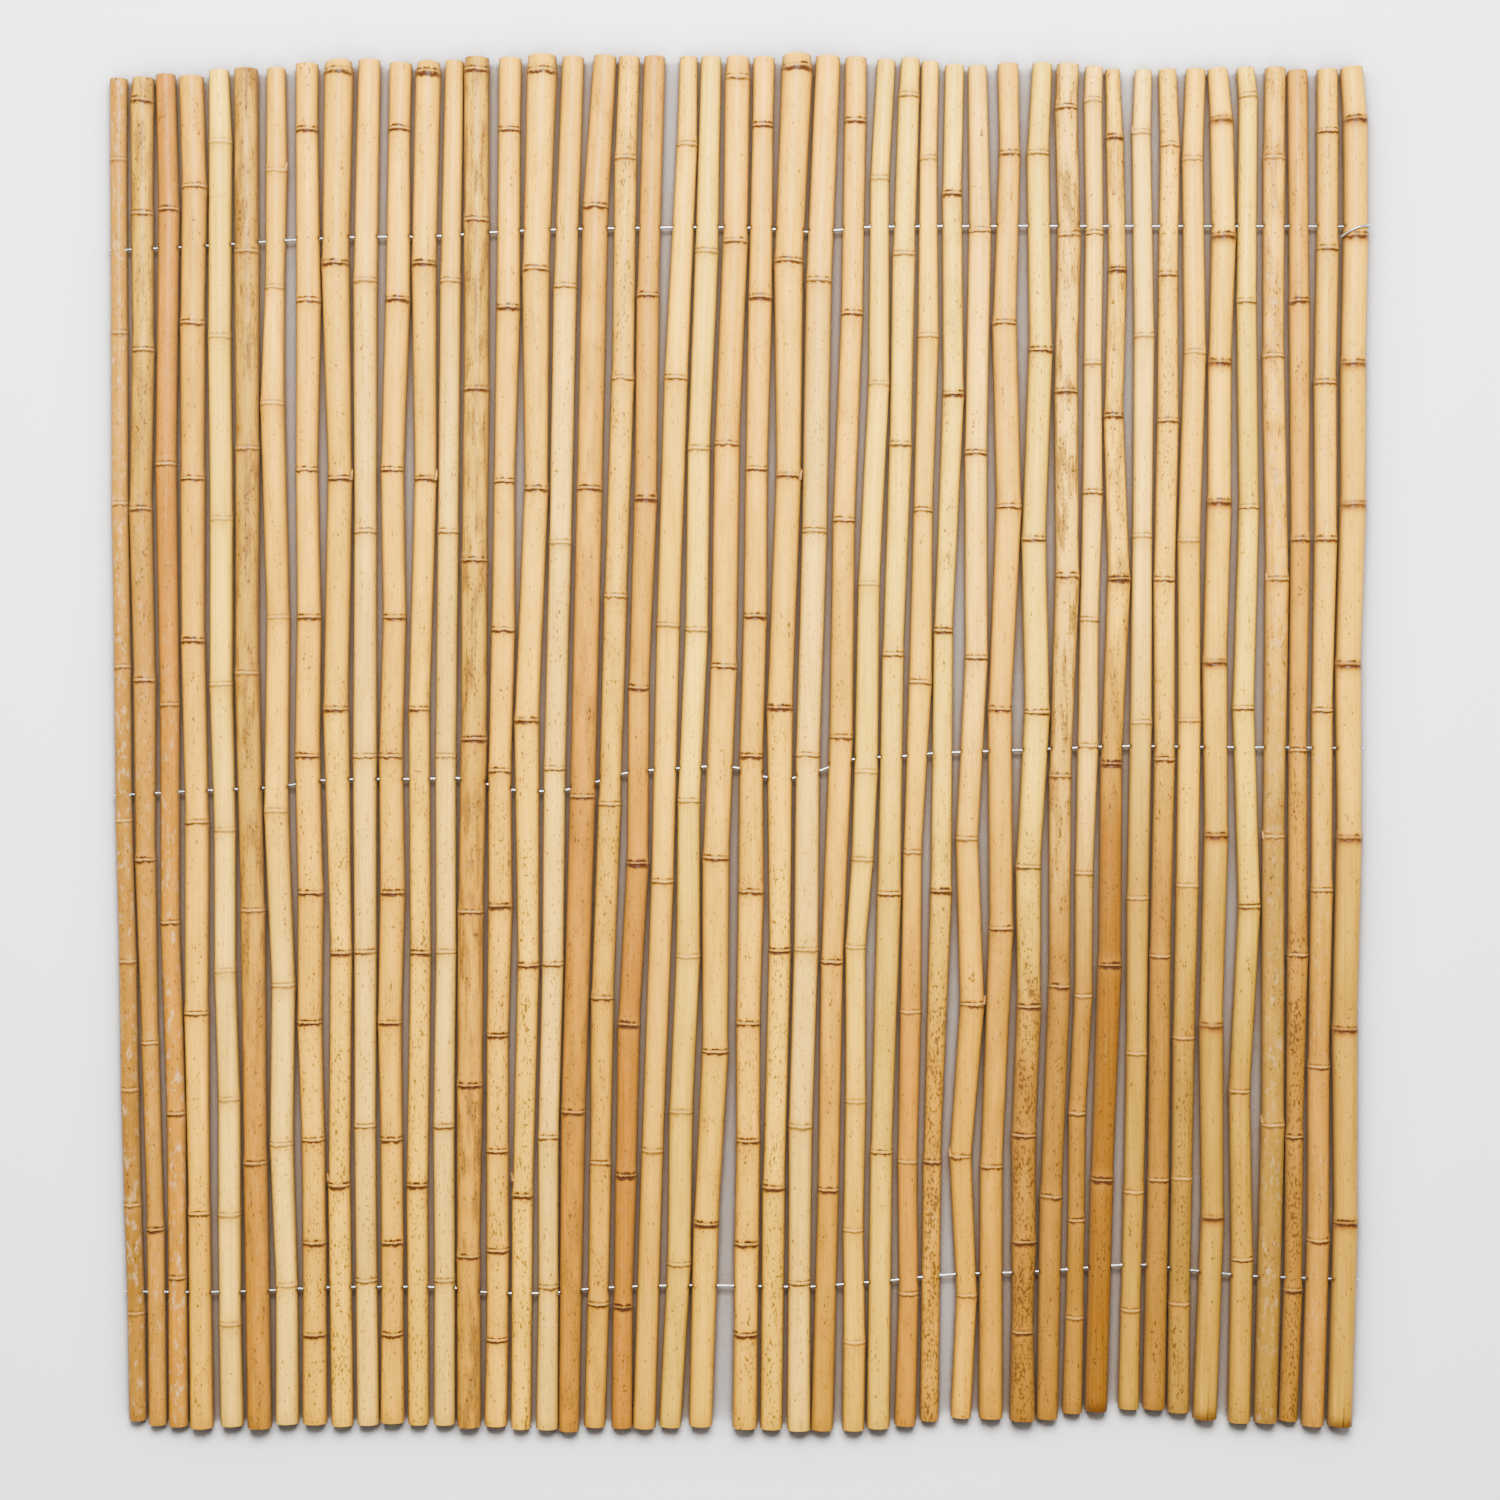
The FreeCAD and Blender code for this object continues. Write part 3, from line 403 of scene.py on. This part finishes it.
def makeBamboo():
    material, tree, shader = newMaterial("bamboo")
    tone = readAttribute(tree, "tone", "Color")
    vectors = (readAttribute(tree, "nodeLine", "Vector"), readAttribute(tree, "wear", "Vector"),
               addNode(tree, "ShaderNodeTexCoord").outputs["Normal"])
    nodeParts, wearParts, facing = (
        addNode(tree, "ShaderNodeSeparateXYZ", None, Vector=vector).outputs for vector in vectors)
    fibre = useGroup(tree, "fibre")
    bands = useGroup(tree, "nodeBands", Distance=nodeParts["X"],
                     Width=math2(tree, "MINIMUM", nodeParts["Z"], marks["widestLine"]))
    specks = useGroup(tree, "specks", Density=wearParts["X"])

    # Fibres and clouds vary the tone
    cloud = mapRange(tree, fibre["Cloud"], *marks["cloud"])
    shade = times(tree, mapRange(tree, fibre["Fibre"], *marks["light"]), cloud)
    varied = addNode(tree, "ShaderNodeCombineXYZ", None, X=shade, Y=shade, Z=times(tree, shade, cloud))
    color = mixColor(tree, 1.0, tone, varied.outputs[0], "MULTIPLY")
    # Brown mottling in long patches, brown and black specks, pale dust
    streaks = math2(tree, "ADD", times(tree, specks["Patches"], marks["patchPart"]),
                    times(tree, fibre["Fibre"], marks["fibrePart"]))
    mottle = times(tree, wearParts["Y"], mapRange(tree, streaks, *marks["mottle"]))
    dust = times(tree, wearParts["Z"], mapRange(tree, specks["Blots"], *marks["dust"]))
    color = mixColor(tree, mottle, color, paint["mottle"])
    for mark, label in (("speck", "Specks"), ("dash", "Dashes"), ("knot", "Knots")):
        color = mixColor(tree, times(tree, specks[label], marks[mark]), color, paint[mark])
    color = mixColor(tree, dust, color, paint["dust"])
    # Nodes: a warm blush, a pale ring, a brown band at the broadest and dark scar lines
    near = math2(tree, "MINIMUM", times(tree, nodeParts["Y"], marks["near"]), 1.0)
    for mark, label in (("blush", "Blush"), ("bloom", "Bloom")):
        color = mixColor(tree, times(tree, bands[label], near, marks[mark]), color, paint[mark])
    band = times(tree, bands["Band"], mapRange(tree, nodeParts["Z"], *marks["band"]), near)
    color = mixColor(tree, band, color, paint["band"])
    line = times(tree, bands["Line"], nodeParts["Y"])
    drawn = math2(tree, "MINIMUM", times(tree, line, marks["line"]), 1.0)
    color = mixColor(tree, drawn, color, paint["line"])
    # Browned feet, real on a few culms and painted shade on the rest, and a crack up from some of them
    color = mixColor(tree, readAttribute(tree, "footBurnAndShade", "Fac"), color, paint["footBurnAndShade"])
    turn = math2(tree, "ADD", facing["X"], times(tree, fibre["Cloud"], marks["crackWander"]))
    crack = times(tree, bell(tree, turn, *marks["crack"]), readAttribute(tree, "crack", "Fac"))
    color = mixColor(tree, crack, color, paint["crack"])
    # Painted shade on the sides that face the neighbours, and painted shade around the drilled holes there
    paintedFlankShade = mapRange(tree, math2(tree, "ABSOLUTE", facing["Z"]), *marks["paintedFlankShade"])
    paintedFlankShade = times(tree, paintedFlankShade, mapRange(tree, fibre["Cloud"], *marks["paintedShadeCloud"]))
    color = mixColor(tree, paintedFlankShade, color, paint["paintedFlankShade"])
    # Painted shade darkening the flanks round each drilled hole
    rim = mapRange(tree, math2(tree, "ABSOLUTE", facing["X"]), *marks["rim"])
    color = mixColor(tree, times(tree, readAttribute(tree, "drill", "Fac"), rim), color, paint["rim"])
    tree.links.new(color, shader.inputs["Base Color"])
    shader.inputs["Specular IOR Level"].default_value = marks["specular"]

    worn = times(tree, math2(tree, "ADD", mottle, dust), marks["wornRough"])
    rough = math2(tree, "ADD", mapRange(tree, fibre["Cloud"], *marks["rough"]), worn)
    tree.links.new(rough, shader.inputs["Roughness"])
    height = math2(tree, "SUBTRACT", times(tree, fibre["Fibre"], marks["bumpFibre"]),
                   times(tree, line, marks["bumpLine"]))
    bump = addNode(tree, "ShaderNodeBump", None, Strength=marks["bumpStrength"],
                   Distance=marks["bumpDistance"], Height=height)
    tree.links.new(bump.outputs[0], shader.inputs["Normal"])
    return material


# Bare bamboo, at the cut ends and on the buds: grain, colours and roughness
bare = {
    "contrast": (0.35, 0.65, 0.0, 1.0),
    "cutBamboo": (1100.0, 30.0, (0.40, 0.22, 0.07, 1.0), (0.72, 0.46, 0.20, 1.0), 0.8),
    "budBamboo": (900.0, 120.0, (0.10, 0.036, 0.008, 1.0), (0.50, 0.22, 0.02, 1.0), 0.6),
}


def makeBare(name):
    across, along, dark, pale, roughness = bare[name]
    material, tree, shader = newMaterial(name)
    fibre = useGroup(tree, "fibre", Across=across, Along=along)
    color = mixColor(tree, mapRange(tree, fibre["Fibre"], *bare["contrast"]), dark, pale)
    tree.links.new(color, shader.inputs["Base Color"])
    shader.inputs["Roughness"].default_value = roughness
    return material


zinc = {
    "grain": 900.0,
    "dark": (0.34, 0.35, 0.36, 1.0),
    "pale": (0.78, 0.79, 0.80, 1.0),
    "rough": (0.3, 0.7, 0.28, 0.5),
}


def makeGalvanised():
    material, tree, shader = newMaterial("galvanisedWire")
    fibre = useGroup(tree, "fibre", Across=zinc["grain"], Along=zinc["grain"])
    tree.links.new(mixColor(tree, fibre["Fibre"], zinc["dark"], zinc["pale"]), shader.inputs["Base Color"])
    tree.links.new(mapRange(tree, fibre["Fibre"], *zinc["rough"]), shader.inputs["Roughness"])
    shader.inputs["Metallic"].default_value = 1.0
    return material


# Floor: pale in the open, with painted shade, brown, in the narrow gaps between culms and close around them
backdrop = {
    "size": 12,
    "reach": 60 * mm,
    "samples": 6,
    "open": (0.46, 0.97, 0.0, 1.0),
    "falloff": 1.15,
    "gap": (0.085, 0.050, 0.027, 1.0),
    "pale": (0.90, 0.90, 0.90, 1.0),
    "rough": 0.9,
}


def makeFloorMaterial():
    material, tree, shader = newMaterial("paleFloor")
    # Painted shade: the floor's colour darkens where nearby culms hem it in
    clear = addNode(tree, "ShaderNodeAmbientOcclusion", {"samples": backdrop["samples"]},
                    Distance=backdrop["reach"]).outputs["AO"]
    openness = math2(tree, "POWER", mapRange(tree, clear, *backdrop["open"]), backdrop["falloff"])
    color = mixColor(tree, openness, backdrop["gap"], backdrop["pale"])
    tree.links.new(color, shader.inputs["Base Color"])
    shader.inputs["Roughness"].default_value = backdrop["rough"]
    return material


materials = {
    "bamboo": makeBamboo(), "cut": makeBare("cutBamboo"), "bud": makeBare("budBamboo"),
    "wire": makeGalvanised(), "floor": makeFloorMaterial(),
}


# Culms: the frame's sections give each culm's line, thickness and nodes
def isSeam(before, here, after):
    return all(abs(here[key] - (before[key] + after[key]) / 2) < slack for key, slack in culm["seam"].items())


def readStations(name):
    rings = {}
    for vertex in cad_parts[name].data.vertices:
        rings.setdefault(round(vertex.co.y, 4), []).append(vertex.co)
    stations = []
    for y in sorted(rings):
        low = min(corner.z for corner in rings[y])
        high = max(corner.z for corner in rings[y])
        if low < culm["lowest"] and high - low > culm["leastHeight"]:
            xs = [corner.x for corner in rings[y]]
            stations.append({"y": y, "x": (min(xs) + max(xs)) / 2, "z": (low + high) / 2,
                             "radius": (high - low) / 2, "collar": low > culm["collarRise"]})
    triples = zip(stations, stations[1:], stations[2:])
    kept = [here for before, here, after in triples if not isSeam(before, here, after)]
    return [stations[0], *kept, stations[-1]]


def between(stations, place, lowKey, highKey=None, by="y"):
    highKey = lowKey if highKey is None else highKey
    for low, high in zip(stations, stations[1:]):
        if place <= high[by]:
            part = (place - low[by]) / (high[by] - low[by])
            return low[lowKey] + (high[highKey] - low[lowKey]) * part
    return stations[-1][highKey]


def railHeights(foot, head, nodes, holes):
    heights = {foot, head}
    places = {"footSteps": [foot], "holeSteps": holes, "nodeSteps": [node["y"] for node in nodes]}
    for steps, centres in places.items():
        heights.update(centre + step * mm for centre in centres for step in culm[steps])
    ordered = sorted(y for y in heights if foot <= y <= head)
    for low, high in list(zip(ordered, ordered[1:])):
        pieces = max(1, math.ceil((high - low) / culm["internodeStep"]))
        ordered += [low + (high - low) * piece / pieces for piece in range(1, pieces)]
    ordered.sort()
    return [y for i, y in enumerate(ordered) if i == 0 or y - ordered[i - 1] > culm["leastStep"]]


# The line of a culm from foot to head: its two ends, and its nodes in between
def readCulm(name):
    stations = readStations(name)
    line = []
    for i, station in enumerate(stations):
        if not station["collar"]:
            inner = 0 < i < len(stations) - 1
            ringed = inner and stations[i + 1]["collar"]
            above = culm["ringedStep"] if ringed else culm["smoothStep"]
            line.append(dict(station, below=station["radius"] - culm["lip"] * inner,
                             above=station["radius"] - above * inner))
    return line


railLayers = {
    "baseRadius": "FLOAT", "swell": "FLOAT", "drill": "FLOAT", "footBurnAndShade": "FLOAT", "crack": "FLOAT",
    "tone": "FLOAT_COLOR", "nodeLine": "FLOAT_VECTOR", "wear": "FLOAT_VECTOR",
}


# A rail carries, for each of its points, all that the culm's tree and material read
def makeRail(number, line, routes):
    headName, footName, split, darkness, width, *wear = looks[number - 1]
    rng = random.Random(number)
    nodes = line[1:-1]
    for node in nodes:
        node["dark"] = darkness * rng.uniform(*culm["darkSpread"])
        node["width"] = width * rng.uniform(*culm["widthSpread"])
    shades = [rng.uniform(*culm["shade"]) for _ in range(len(nodes) + 1)]  # one for each internode
    foot, head = line[0]["y"], line[-1]["y"]
    holes = [between(route, between(line, route[0].y, "x"), 1, by=0) for route in routes]
    heights = railHeights(foot, head, nodes, holes)
    dull, bright = culm["paintedLight"]
    # a real browned foot on the listed culms, painted shade at every other foot
    footBurnAndShade = culm["burntFeet"].get(number, culm["footShade"])

    rows = []
    for y in heights:
        nearest = min(nodes, key=lambda node: abs(node["y"] - y))
        near = abs(nearest["y"] - y) <= culm["nodeReach"]
        step = nearest["radius"] - nearest["above" if y > nearest["y"] else "below"]
        part = min(max((y - cadBounds[0][1] - split) / culm["blend"] + 0.5, 0.0), 1.0)
        # painted light, rising from foot to head
        paintedLight = dull + (bright - dull) * (y - foot) / (head - foot)
        shade = shades[sum(node["y"] < y for node in nodes)] * paintedLight
        hole = min(abs(y - hole) for hole in holes)
        rows.append({
            "baseRadius": between(line, y, "above", "below"),
            "swell": step * near,
            # painted shade around each drilled hole
            "drill": math.exp(-(hole / culm["holeShade"]) ** 2),
            "footBurnAndShade": footBurnAndShade * math.exp(-((y - foot) / culm["burn"]) ** 2),
            "crack": max(0.0, 1 - (y - foot) / culm["crack"]) * (number in culm["cracked"]),
            "tone": (*(c * shade for c in mixed(tones[footName], tones[headName], part)), 1.0),
            "nodeLine": (y - nearest["y"], nearest["dark"] * near, nearest["width"]),
            "wear": [atFoot + (atHead - atFoot) * part for atHead, atFoot in wear],
        })

    mesh = bpy.data.meshes.new("pole_%02d_rail" % number)
    points = [Vector((between(line, y, "x"), y, between(line, y, "z"))) for y in heights]
    mesh.from_pydata(points, [(i, i + 1) for i in range(len(points) - 1)], [])
    for layer, kind in railLayers.items():
        addLayer(mesh, layer, kind, [row[layer] for row in rows])
    return mesh


def makeCulmTree():
    tree, source, sink = newTree(
        "culmTree", "GeometryNodeTree",
        [("Rail", "NodeSocketGeometry", None), ("Sides", "NodeSocketInt", culm["sides"]),
         ("Swell width", "NodeSocketFloat", culm["swellWidth"]),
         ("Groove", "NodeSocketFloat", culm["groove"]), ("Bamboo", "NodeSocketMaterial", None)],
        [("Culm", "NodeSocketGeometry")])

    def attribute(name, kind="FLOAT"):
        return addNode(tree, "GeometryNodeInputNamedAttribute", {"data_type": kind}, Name=name).outputs[0]

    nodeLine = attribute("nodeLine", "FLOAT_VECTOR")
    distance = addNode(tree, "ShaderNodeSeparateXYZ", None, Vector=nodeLine).outputs["X"]
    swelling = bell(tree, distance, culm["swellCentre"], source.outputs["Swell width"])
    swelling = times(tree, attribute("swell"), swelling)
    scar = bell(tree, distance, *culm["scar"])
    dip = times(tree, bell(tree, distance, *culm["dip"]), culm["dipDepth"])
    cuts = times(tree, math2(tree, "ADD", scar, dip), source.outputs["Groove"])
    radius = math2(tree, "SUBTRACT", math2(tree, "ADD", attribute("baseRadius"), swelling), cuts)
    curve = addNode(tree, "GeometryNodeMeshToCurve", None, Mesh=source.outputs["Rail"]).outputs[0]
    curve = addNode(tree, "GeometryNodeSetCurveRadius", None, Curve=curve, Radius=radius).outputs[0]
    circle = addNode(tree, "GeometryNodeCurvePrimitiveCircle", {"mode": "RADIUS"},
                     Resolution=source.outputs["Sides"], Radius=1.0).outputs[0]
    reach = addNode(tree, "GeometryNodeInputRadius").outputs[0]
    tube = addNode(tree, "GeometryNodeCurveToMesh", None, Curve=curve, i1=circle, Scale=reach).outputs[0]
    return finishTree(tree, tube, source, sink, "Culm")


def openEnd(bm, end, inner, into):
    depth = max(culm["leastHollow"], min(culm["hollow"], abs(inner["y"] - end["y"]) - culm["diaphragm"]))
    rim = [edge for edge in bm.edges
           if len(edge.link_faces) == 1 and abs(edge.verts[0].co.y - end["y"]) < culm["rimSlack"]]
    for scale, shift in (((end["radius"] - culm["wall"]) / end["radius"], 0.0), (1.0, depth * into)):
        grown = bmesh.ops.extrude_edge_only(bm, edges=rim)["geom"]
        for vertex in (item for item in grown if isinstance(item, bmesh.types.BMVert)):
            vertex.co.x = end["x"] + (vertex.co.x - end["x"]) * scale
            vertex.co.z = end["z"] + (vertex.co.z - end["z"]) * scale
            vertex.co.y += shift
        for face in (item for item in grown if isinstance(item, bmesh.types.BMFace)):
            face.material_index = 1
        rim = [item for item in grown if isinstance(item, bmesh.types.BMEdge) and len(item.link_faces) == 1]
    for face in bmesh.ops.edgenet_fill(bm, edges=rim)["faces"]:
        face.material_index = 1


def makeCulm(number, tree, routes, drill):
    name = "pole_%02d" % number
    line = readCulm(name)
    obj = makeObject("culm_%02d" % number, makeRail(number, line, routes))
    addTreeModifier(obj, tree, {
        "Sides": culm["sides"], "Swell width": culm["swellWidth"], "Groove": culm["groove"],
        "Bamboo": materials["bamboo"]})
    bakeModifiers(obj)
    obj.data.materials.append(materials["cut"])
    bm = bmesh.new()
    bm.from_mesh(obj.data)
    openEnd(bm, line[0], line[1], 1)
    openEnd(bm, line[-1], line[-2], -1)
    bmesh.ops.recalc_face_normals(bm, faces=bm.faces)
    bm.to_mesh(obj.data)
    bm.free()
    cut = obj.modifiers.new("wireHoles", "BOOLEAN")
    cut.operation = "DIFFERENCE"
    cut.solver = "MANIFOLD"
    cut.object = drill
    bakeModifiers(obj)
    shadeSmooth(obj)
    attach(obj, "root")
    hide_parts(name)
    return line


# Buds and branch stubs, by culm: height in metres, turn to the side in degrees, girth and reach in mm
buds = {
    "sides": 12,
    "taper": 0.35,
    "sunk": 0.7 * mm,
    "lean": 0.22,
    "places": {
        7: ((0.512, 62, 3.4, 8),),
        9: ((0.236, 66, 3.6, 9), (-0.391, -66, 3.0, 7)),
        12: ((0.236, 66, 3.6, 9),),
        16: ((-0.391, -66, 3.0, 7),),
        25: ((0.236, 66, 3.6, 9),),
        32: ((0.543, 12, 3.2, 6), (-0.369, -66, 3.4, 8), (-0.233, 66, 3.2, 8)),
        37: ((0.491, -20, 3.0, 6), (0.293, 30, 3.8, 8)),
        38: ((0.546, -66, 3.2, 8),),
        39: ((0.023, -30, 3.0, 7),),
        43: ((0.146, -66, 3.2, 7), (-0.085, -66, 3.2, 7), (-0.339, -66, 3.2, 7)),
    },
}
budLayers = {"aim": "FLOAT_VECTOR", "girth": "FLOAT", "reach": "FLOAT"}


def makeBudTree():
    tree, source, sink = newTree(
        "budTree", "GeometryNodeTree",
        [("Places", "NodeSocketGeometry", None), ("Sides", "NodeSocketInt", buds["sides"]),
         ("Taper", "NodeSocketFloat", buds["taper"]), ("Bamboo", "NodeSocketMaterial", None)],
        [("Buds", "NodeSocketGeometry")])
    cone = addNode(tree, "GeometryNodeMeshCone", None, Vertices=source.outputs["Sides"], Side_Segments=3,
                   Radius_Top=source.outputs["Taper"], Radius_Bottom=1.0, Depth=1.0).outputs["Mesh"]
    aim, girth, reach = (
        addNode(tree, "GeometryNodeInputNamedAttribute", {"data_type": kind}, Name=name).outputs[0]
        for name, kind in budLayers.items())
    turn = addNode(tree, "FunctionNodeAlignRotationToVector", {"axis": "Z"}, Vector=aim).outputs[0]
    scale = addNode(tree, "ShaderNodeCombineXYZ", None, X=girth, Y=girth, Z=reach).outputs[0]
    placed = addNode(tree, "GeometryNodeInstanceOnPoints", None, Points=source.outputs["Places"],
                     Instance=cone, Rotation=turn, Scale=scale).outputs[0]
    return finishTree(tree, placed, source, sink, "Buds")


def makeBuds(lines):
    points, rows = [], []
    for number, places in buds["places"].items():
        for y, degrees, girth, reach in places:
            line = lines[number]
            turn = math.radians(degrees)
            out = Vector((math.sin(turn), 0, math.cos(turn)))
            axis = Vector((between(line, y, "x"), y, between(line, y, "z")))
            points.append(axis + out * (between(line, y, "radius") - buds["sunk"]))
            rows.append((Vector((0, 1, 0)) + out * buds["lean"], girth / 2 * mm, reach * mm))
    mesh = bpy.data.meshes.new("budPlaces")
    mesh.from_pydata(points, [], [])
    for (layer, kind), values in zip(budLayers.items(), zip(*rows)):
        addLayer(mesh, layer, kind, values)
    obj = makeObject("branch_buds", mesh)
    addTreeModifier(obj, makeBudTree(), {
        "Sides": buds["sides"], "Taper": buds["taper"], "Bamboo": materials["bud"]})
    bakeModifiers(obj)
    shadeSmooth(obj)
    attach(obj, "root")


# Wires: the frame's mitred bends give each wire's route
wire = {
    "thick": 2.0 * mm,
    "drill": 2.8 * mm,
    "tailRise": 1.5 * mm,
    "bendReach": 2.6 * mm,  # corners of the frame's mesh that lie this near belong to one bend
    "same": 0.05 * mm,
    "bevel": 3,
    "order": 3,
    "steps": 6,
    "beyond": 30 * mm,  # how far a drill runs on past the last culm
    "weld": 0.001 * mm,
}


# A bend is the middle of its corners, and the bends that rise above the row are the curled tail
def readBends(name):
    clusters = []
    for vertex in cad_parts[name].data.vertices:
        for cluster in clusters:
            if (cluster[0] - vertex.co).length < wire["bendReach"]:
                if all((corner - vertex.co).length > wire["same"] for corner in cluster):
                    cluster.append(vertex.co.copy())
                break
        else:
            clusters.append([vertex.co.copy()])
    bends = [sum(cluster, Vector()) / len(cluster) for cluster in clusters]
    tailStart = min(bend.z for bend in bends) + wire["tailRise"]
    route = sorted((bend for bend in bends if bend.z < tailStart), key=lambda bend: bend.x)
    tail = sorted((bend for bend in bends if bend.z >= tailStart), key=lambda bend: -bend.x)
    return route, tail


def makeTube(name, points, thick, smooth):
    curve = bpy.data.curves.new(name, "CURVE")
    curve.dimensions = "3D"
    curve.bevel_depth = thick / 2
    curve.bevel_resolution = wire["bevel"]
    curve.use_fill_caps = True
    spline = curve.splines.new("NURBS" if smooth else "POLY")
    spline.points.add(len(points) - 1)
    for place, point in zip(spline.points, points):
        place.co = (*point, 1.0)
    if smooth:
        spline.order_u = wire["order"]
        spline.use_endpoint_u = True
        spline.resolution_u = wire["steps"]
    obj = makeObject(name, curve)
    mesh = evaluatedMesh(obj)
    bpy.data.objects.remove(obj)
    return mesh


def makeWires():
    routes = []
    for name in ("wire_top", "wire_middle", "wire_bottom"):
        route, tail = readBends(name)
        obj = makeObject("galvanised_" + name, makeTube(name, route + tail, wire["thick"], True))
        obj.data.materials.clear()
        obj.data.materials.append(materials["wire"])
        obj.data.shade_smooth()
        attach(obj, "root")
        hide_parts(name)
        routes.append(route)
    return routes


def makeDrill(routes):
    bm = bmesh.new()
    for route in routes:
        onward = (route[-1] - route[-2]).normalized() * wire["beyond"]
        mesh = makeTube("drillRun", route + [route[-1] + onward], wire["drill"], False)
        bm.from_mesh(mesh)
        bpy.data.meshes.remove(mesh)
    bmesh.ops.remove_doubles(bm, verts=bm.verts, dist=wire["weld"])
    mesh = bpy.data.meshes.new("drill")
    bm.to_mesh(mesh)
    bm.free()
    return makeObject("drill", mesh)


# Studio: the place of each light over the panel, its size and its watts
studio = {
    "lights": {
        "overhead": ((0.0, 1.2, 2.4), (1.5, 1.0), 338.0),
        "leftBox": ((-2.0, 0.5, 1.9), (0.8, 2.0), 8.0),
        "rightBox": ((2.0, 0.5, 1.9), (0.8, 2.0), 8.0),
    },
    "room": 0.25,
}


def makeStudio():
    low, high = cadBounds
    bpy.ops.mesh.primitive_plane_add(
        size=backdrop["size"], location=((low[0] + high[0]) / 2, (low[1] + high[1]) / 2, 0))
    floor = bpy.context.object
    floor.name = "floor"
    floor.data.materials.append(materials["floor"])
    for name, (place, size, watts) in studio["lights"].items():
        data = bpy.data.lights.new(name, "AREA")
        data.shape = "RECTANGLE"
        data.size, data.size_y = size
        data.energy = watts
        lamp = makeObject(name, data)
        lamp.location = place
        lamp.rotation_euler = (Vector() - lamp.location).to_track_quat("-Z", "Y").to_euler()
    world = bpy.data.worlds.new("softRoom")
    world.use_nodes = True
    background = world.node_tree.nodes["Background"]
    background.inputs["Color"].default_value = (1.0, 1.0, 1.0, 1.0)
    background.inputs["Strength"].default_value = studio["room"]
    bpy.context.scene.world = world


# Camera: over the panel and looking down on it, with the width in metres that fills the picture
view = {"x": 0.0097, "y": -0.0057, "height": 2.44, "frame": 1.35, "sensor": 36.0}


def makeCamera():
    data = bpy.data.cameras.new("photoView")
    data.sensor_width = view["sensor"]
    data.lens = view["sensor"] * view["height"] / view["frame"]
    camera = makeObject("photoView", data)
    camera.location = (view["x"], view["y"], view["height"])
    bpy.context.scene.camera = camera


makeCamera()
routes = makeWires()
drill = makeDrill(routes)
print("wires made")
culmTree = makeCulmTree()
lines = {number: makeCulm(number, culmTree, routes, drill) for number in range(1, culmCount + 1)}
bpy.data.objects.remove(drill)
makeBuds(lines)
print("buds made")
makeStudio()
print("studio made")
bpy.context.view_layer.update()
